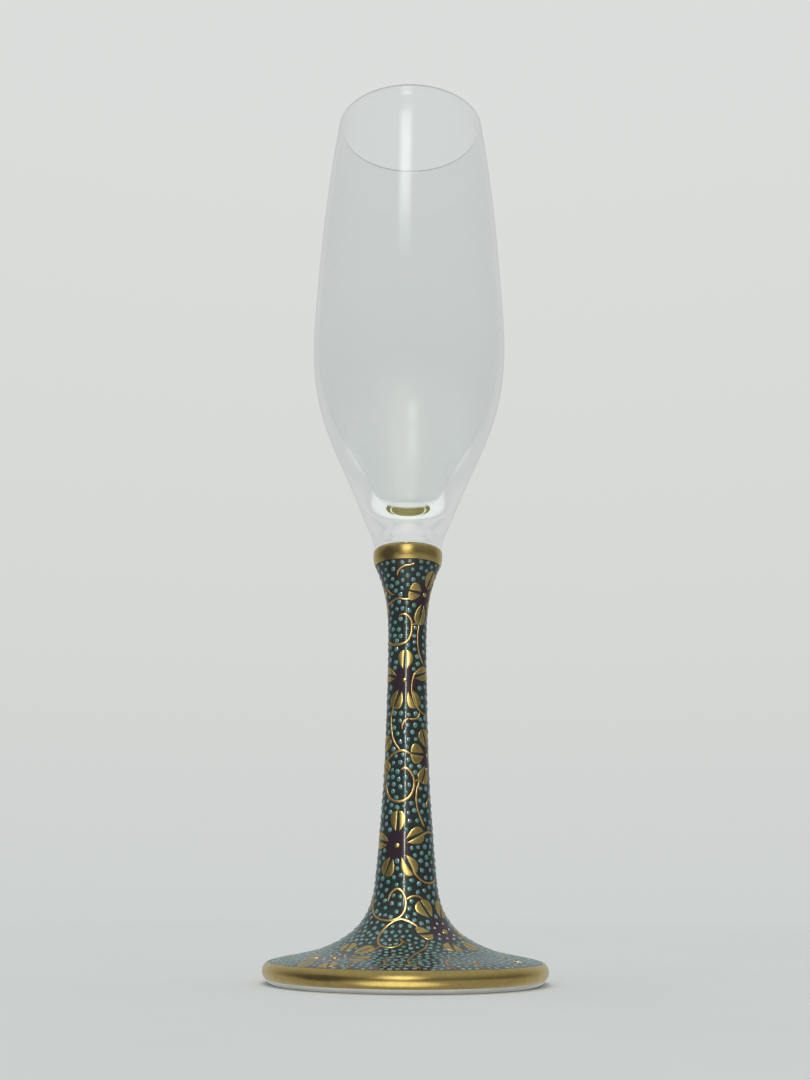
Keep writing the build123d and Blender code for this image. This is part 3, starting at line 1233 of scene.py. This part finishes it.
# ---------------------------------------------------------------- lamps
CENTRE = Vector((0.0, 0.0, 0.11))
WARM = (1.0, 0.97, 0.80)
COOL = (0.93, 0.98, 1.0)
NEUTRAL = (1.0, 1.0, 1.0)
FADE_FROM, FADE_TO = 0.1, 0.5
ROUND = 2.0
SQUARISH = 4.0
SPARKLE_AT = (-0.10, -0.76, 0.86)
SPARKLE_SIZE = (0.08, 0.08)


def soft_edges(lamp, shape_power):
    """Makes a lamp fade out from its middle to its edges, as a diffused softbox does."""
    lamp.use_nodes = True
    tree = lamp.node_tree
    spot = add(tree, "NewGeometry").outputs["Parametric"]
    spot = add(tree, "VectorMath", {0: spot, 1: (0.5, 0.5, 0.0)}, operation="SUBTRACT").outputs[0]
    spot = add(tree, "SeparateXYZ", {0: spot})
    x, y = (
        maths(tree, "POWER", maths(tree, "ABSOLUTE", spot.outputs[axis]), shape_power)
        for axis in "XY"
    )
    reach = maths(tree, "POWER", maths(tree, "ADD", x, y), 1 / shape_power)
    strength = span(tree, reach, FADE_FROM, FADE_TO, 1.0, 0.0)
    strength.node.interpolation_type = "SMOOTHSTEP"
    tree.links.new(strength, tree.nodes["Emission"].inputs["Strength"])


def chosen(name, pieces):
    """A collection of some pieces, for a lamp to light or to leave out."""
    group = bpy.data.collections.new(name)
    for piece in pieces:
        group.objects.link(piece)
    return group


def soft_light(name, place_at, size, radiance, skip=(), only=(), power=ROUND, tint=NEUTRAL):
    """A softbox facing the object. It leaves out the pieces in skip, or lights only some."""
    lamp = bpy.data.lights.new(name, "AREA")
    lamp.shape = "RECTANGLE"
    lamp.size, lamp.size_y = size
    lamp.energy = radiance * math.pi * size[0] * size[1]
    lamp.color = tint
    soft_edges(lamp, power)
    obj = bpy.data.objects.new(name, lamp)
    bpy.context.scene.collection.objects.link(obj)
    obj.location = place_at
    obj.rotation_mode = "QUATERNION"
    obj.rotation_quaternion = (CENTRE - Vector(place_at)).to_track_quat("-Z", "Y")
    obj.visible_camera = False
    if skip:
        unlit = chosen(name + "_skips", skip)
        for entry in unlit.collection_objects:
            entry.light_linking.link_state = "EXCLUDE"
        obj.light_linking.receiver_collection = unlit
    if only:
        obj.light_linking.receiver_collection = chosen(name + "_pieces", only)
    return obj


soft_light("front_box", (-0.06, -1.0, 0.42), (0.85, 1.1), 1.6, (bowl, floor), tint=WARM)
soft_light(
    "front_strip", (-0.105, -0.90, 0.38), (0.08, 0.80), 38.0, (bowl, floor, *bands), power=SQUARISH
)
soft_light(
    "high_front", (-0.09, -0.775, 0.95), (0.34, 0.42), 2.4, (floor, *bands), power=SQUARISH, tint=COOL
)
overhead = soft_light("overhead", (-0.15, -0.05, 2.4), (3.0, 3.0), 2.55)
overhead.visible_glossy = False
overhead.visible_transmission = False
soft_light("gold_gleam", SPARKLE_AT, SPARKLE_SIZE, 1000.0, only=gold_lit)
soft_light("dot_glints", SPARKLE_AT, SPARKLE_SIZE, 1100.0, only=dots_lit)

# ---------------------------------------------------------------- camera
CAMERA_AT = Vector((0.0, -0.27012, 0.0192))
CAMERA_LENS = 38.647
CAMERA_SENSOR = 36.0
CAMERA_NEAR = 0.01
CAMERA_PITCH = math.radians(16.853)
CAMERA_YAW = math.radians(-0.152)
CAMERA_ROLL = math.radians(0.380)
BOUNCES = 128


def camera_matrix():
    """The camera's place and turn: yaw about Z, then pitch up, then roll about its own axis."""
    level = Vector((math.cos(CAMERA_YAW), -math.sin(CAMERA_YAW), 0.0))
    ahead = Vector((
        math.sin(CAMERA_YAW) * math.cos(CAMERA_PITCH),
        math.cos(CAMERA_YAW) * math.cos(CAMERA_PITCH),
        math.sin(CAMERA_PITCH),
    ))
    upright = level.cross(ahead)
    across = level * math.cos(CAMERA_ROLL) + upright * math.sin(CAMERA_ROLL)
    upright = upright * math.cos(CAMERA_ROLL) - level * math.sin(CAMERA_ROLL)
    matrix = Matrix((across, upright, -ahead)).transposed().to_4x4()
    matrix.translation = CAMERA_AT
    return matrix


scene = bpy.context.scene
camera = bpy.data.objects.new("camera", bpy.data.cameras.new("camera"))
scene.collection.objects.link(camera)
camera.data.lens = CAMERA_LENS
camera.data.sensor_width = CAMERA_SENSOR
camera.data.clip_start = CAMERA_NEAR
camera.matrix_world = camera_matrix()
scene.camera = camera
scene.view_settings.view_transform = "Standard"
# Light inside the thick glass turns many times before it leaves, and goes black if cut short.
scene.cycles.max_bounces = BOUNCES
scene.cycles.transmission_bounces = BOUNCES
scene.cycles.glossy_bounces = BOUNCES
